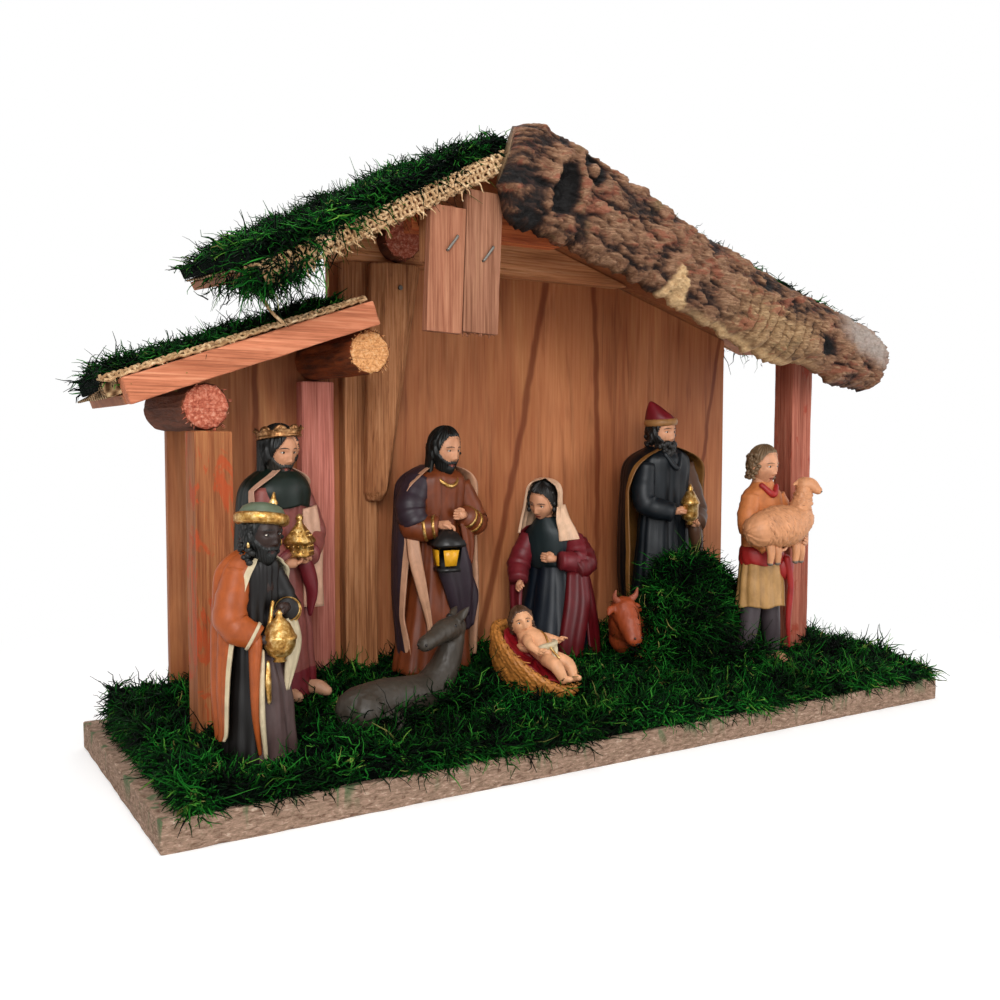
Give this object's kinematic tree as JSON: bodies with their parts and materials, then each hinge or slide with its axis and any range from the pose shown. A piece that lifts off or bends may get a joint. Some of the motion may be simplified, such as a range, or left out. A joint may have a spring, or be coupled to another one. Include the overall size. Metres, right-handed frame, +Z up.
{
  "type": "nativity scene",
  "caption": "Wooden nativity stable with a lean-to and a bark-edged roof on a mossy base, holding cast figures, a manger, a donkey and an ox.",
  "frame": {"origin": "middle of the base board's underside", "axes": "+Z up, +X to the right as seen from the front, +Y to the back"},
  "size_m": [0.3017, 0.105, 0.204],
  "materials": {
    "particle_board": "raw particle board, coarse pressed chips, green dye stains on the edge",
    "plywood": "thin stained plywood with dark vertical streaks",
    "stained_batten": "sawn battens, reddish stain, fine straight grain",
    "round_log": "peeled round sticks with rough sawn ends",
    "tree_bark": "natural bark, deep fissures and a knot",
    "dyed_moss": "dried moss dyed green, fine tangled strands",
    "sacking": "coarse open jute weave with loose threads",
    "steel_wire": "bright staple wire and a small nail head",
    "painted_resin": "cast resin, hand-painted satin colours with gold trim"
  },
  "bodies": {
    "root": {"base_board": "particle_board", "moss_mat": "dyed_moss", "moss_clump": "dyed_moss", "back_panel_left": "plywood", "back_panel_main": "plywood", "front_left_post": "stained_batten", "front_right_post": "stained_batten", "rear_left_post": "stained_batten", "mid_post_lower": "stained_batten", "mid_post_upper": "stained_batten", "rear_beam": "stained_batten", "gable_rail": "stained_batten", "hanger_block": "stained_batten", "lean_to_fascia": "stained_batten", "hanging_board_left": "stained_batten", "hanging_board_right": "stained_batten", "gable_log": "round_log", "lean_to_log_outer": "round_log", "lean_to_log_inner": "round_log", "lean_to_panel": "plywood", "roof_panel_left": "plywood", "roof_panel_right": "plywood", "lean_to_burlap": "sacking", "roof_burlap_left": "sacking", "roof_burlap_right": "sacking", "lean_to_moss": "dyed_moss", "roof_moss_left": "dyed_moss", "roof_moss_right": "dyed_moss", "bark_fascia": "tree_bark", "staple_left": "steel_wire", "staple_right": "steel_wire", "slab_nail": "steel_wire", "king_with_crown": "painted_resin", "king_with_hat": "painted_resin", "king_with_cap": "painted_resin", "father_figure": "painted_resin", "mother_figure": "painted_resin", "shepherd": "painted_resin", "manger": "painted_resin", "infant": "painted_resin", "donkey": "painted_resin", "ox": "painted_resin"}
  },
  "joints": []
}
